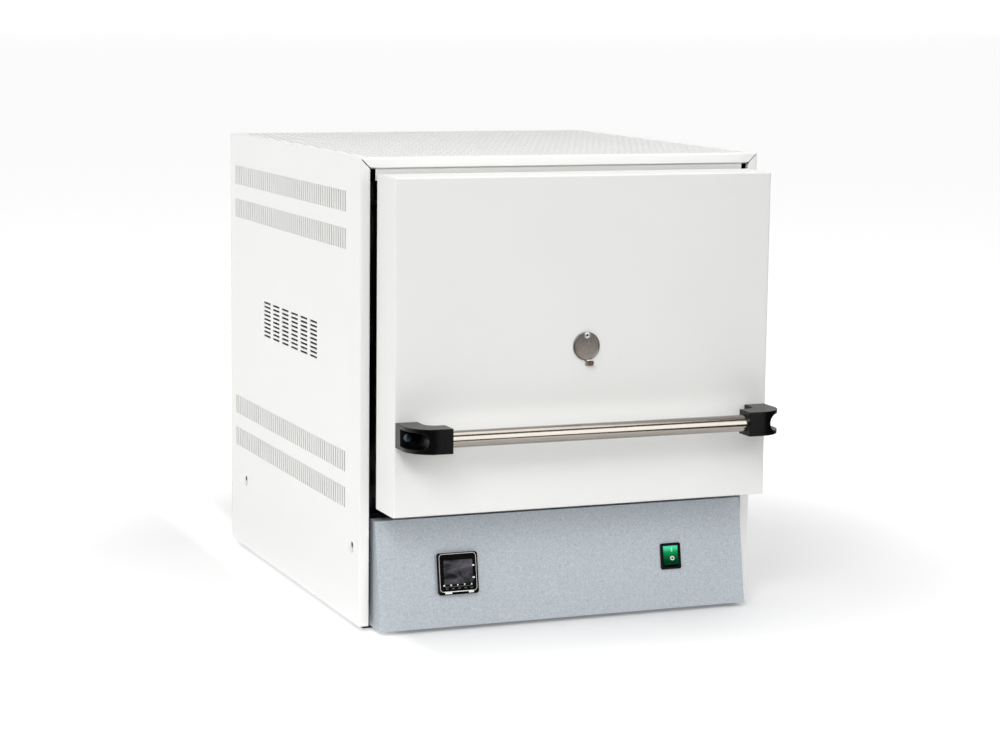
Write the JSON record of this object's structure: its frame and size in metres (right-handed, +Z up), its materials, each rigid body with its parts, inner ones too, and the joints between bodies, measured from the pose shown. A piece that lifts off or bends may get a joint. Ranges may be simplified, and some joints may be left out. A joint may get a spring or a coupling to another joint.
{
  "type": "laboratory muffle furnace",
  "caption": "Bench muffle furnace: louvred sheet cabinet, lift-up insulated door on parallel swing arms with a bar handle and peephole, sloping control panel, fibre-lined chamber and rear flue.",
  "frame": {"origin": "on the plane the furnace stands on, under the middle of its whole box with the door shut", "axes": "+Z up, the front with the door faces -Y, +X to the right of someone standing in front"},
  "size_m": [0.4982, 0.688, 0.542],
  "materials": {
    "side_paint": "white powder coat with a fine texture",
    "door_paint": "white powder coat with a fine texture",
    "panel_paint": "blue-grey hammer paint",
    "stainless": "brushed stainless steel",
    "zinc_steel": "bright zinc plating",
    "bright_pin": "turned steel",
    "cover_steel": "scratched stainless steel",
    "black_moulding": "satin black moulding",
    "switch_black": "glossy black moulding",
    "controller_grey": "dark grey moulding",
    "key_grey": "grey keys",
    "display_black": "smoked display window",
    "green_rocker": "translucent green moulding",
    "rubber": "black rubber",
    "fibre": "white ceramic fibre",
    "ceramic": "fired ceramic",
    "nylon": "natural nylon",
    "aluminium": "extruded aluminium",
    "blade_brass": "plated brass"
  },
  "bodies": {
    "cabinet": {"left_side_panel": "side_paint", "right_side_panel": "side_paint", "top_cover": "side_paint", "rear_panel": "side_paint", "base_tray": "zinc_steel", "compartment_shelf": "zinc_steel", "cabinet_screws": "zinc_steel", "rubber_feet": "rubber", "control_panel": "panel_paint", "controller_bezel": "controller_grey", "controller_case": "controller_grey", "controller_window": "display_black", "switch_body": "switch_black", "heat_sink": "aluminium", "solid_state_relay": "controller_grey", "mains_terminals": "black_moulding", "power_inlet": "black_moulding", "inlet_blades": "blade_brass", "inner_casing": "zinc_steel", "front_plate": "stainless", "front_collar": "fibre", "floor_insulation": "fibre", "roof_insulation": "fibre", "side_insulation": "fibre", "rear_insulation": "fibre", "left_heating_plate": "ceramic", "right_heating_plate": "ceramic", "hearth_plate": "ceramic", "heating_leads": "ceramic", "lead_terminals": "ceramic", "thermocouple": "ceramic", "exhaust_pipe": "stainless", "exhaust_flange": "stainless", "left_pivot_bracket": "zinc_steel", "right_pivot_bracket": "zinc_steel", "shaft_bearings": "nylon", "lower_pivot_pins": "bright_pin"},
    "upper_arms": {"left_upper_arm": "zinc_steel", "right_upper_arm": "zinc_steel", "cross_shaft": "bright_pin"},
    "lower_arm_left": {"left_lower_arm": "zinc_steel"},
    "lower_arm_right": {"right_lower_arm": "zinc_steel"},
    "door": {"door_shell": "door_paint", "door_inner_plate": "stainless", "door_insulation": "fibre", "door_plug": "fibre", "hinge_plates": "zinc_steel", "door_pivot_pins": "bright_pin", "peephole_tube": "ceramic", "peephole_rivet": "bright_pin", "handle_brackets": "black_moulding", "handle_tube": "stainless", "handle_screws": "zinc_steel"},
    "peephole_cover": {"peephole_cover": "cover_steel"},
    "rocker": {"rocker": "green_rocker"},
    "key_1": {"controller_key_1": "key_grey"},
    "key_2": {"controller_key_2": "key_grey"},
    "key_3": {"controller_key_3": "key_grey"},
    "key_4": {"controller_key_4": "key_grey"},
    "key_5": {"controller_key_5": "key_grey"}
  },
  "joints": [
    {"name": "door_lift", "type": "hinge", "parent": "cabinet", "child": "upper_arms", "pos_m": [0, -0.196, 0.487], "axis": [-1, 0, 0], "range_deg": [0, 125]},
    {"name": "door_level", "type": "hinge", "parent": "upper_arms", "child": "door", "pos_m": [0, -0.196, 0.32], "axis": [-1, 0, 0], "range_deg": [-125, 0]},
    {"name": "left_lower_swing", "type": "hinge", "parent": "cabinet", "child": "lower_arm_left", "pos_m": [-0.233, -0.171, 0.337], "axis": [-1, 0, 0], "range_deg": [0, 125]},
    {"name": "right_lower_swing", "type": "hinge", "parent": "cabinet", "child": "lower_arm_right", "pos_m": [0.233, -0.171, 0.337], "axis": [-1, 0, 0], "range_deg": [0, 125]},
    {"name": "peephole_swing", "type": "hinge", "parent": "door", "child": "peephole_cover", "pos_m": [0, -0.2885, 0.3426], "axis": [0, 1, 0], "continuous": true},
    {"name": "rocker_tilt", "type": "hinge", "parent": "cabinet", "child": "rocker", "pos_m": [0.1363, -0.23175, 0.06561], "axis": [-1, 0, 0], "range_deg": [-18, 0]},
    {"name": "key_1_press", "type": "slide", "parent": "cabinet", "child": "key_1", "axis": [0, 0.9858, -0.1681], "range_m": [0, 0.0005], "stiffness_N_per_m": 200},
    {"name": "key_2_press", "type": "slide", "parent": "cabinet", "child": "key_2", "axis": [0, 0.9858, -0.1681], "range_m": [0, 0.0005], "stiffness_N_per_m": 200},
    {"name": "key_3_press", "type": "slide", "parent": "cabinet", "child": "key_3", "axis": [0, 0.9858, -0.1681], "range_m": [0, 0.0005], "stiffness_N_per_m": 200},
    {"name": "key_4_press", "type": "slide", "parent": "cabinet", "child": "key_4", "axis": [0, 0.9858, -0.1681], "range_m": [0, 0.0005], "stiffness_N_per_m": 200},
    {"name": "key_5_press", "type": "slide", "parent": "cabinet", "child": "key_5", "axis": [0, 0.9858, -0.1681], "range_m": [0, 0.0005], "stiffness_N_per_m": 200}
  ],
  "couplings": [
    {"joint": "door_level", "follows": "door_lift", "ratio": -1},
    {"joint": "left_lower_swing", "follows": "door_lift", "ratio": 1},
    {"joint": "right_lower_swing", "follows": "door_lift", "ratio": 1}
  ]
}
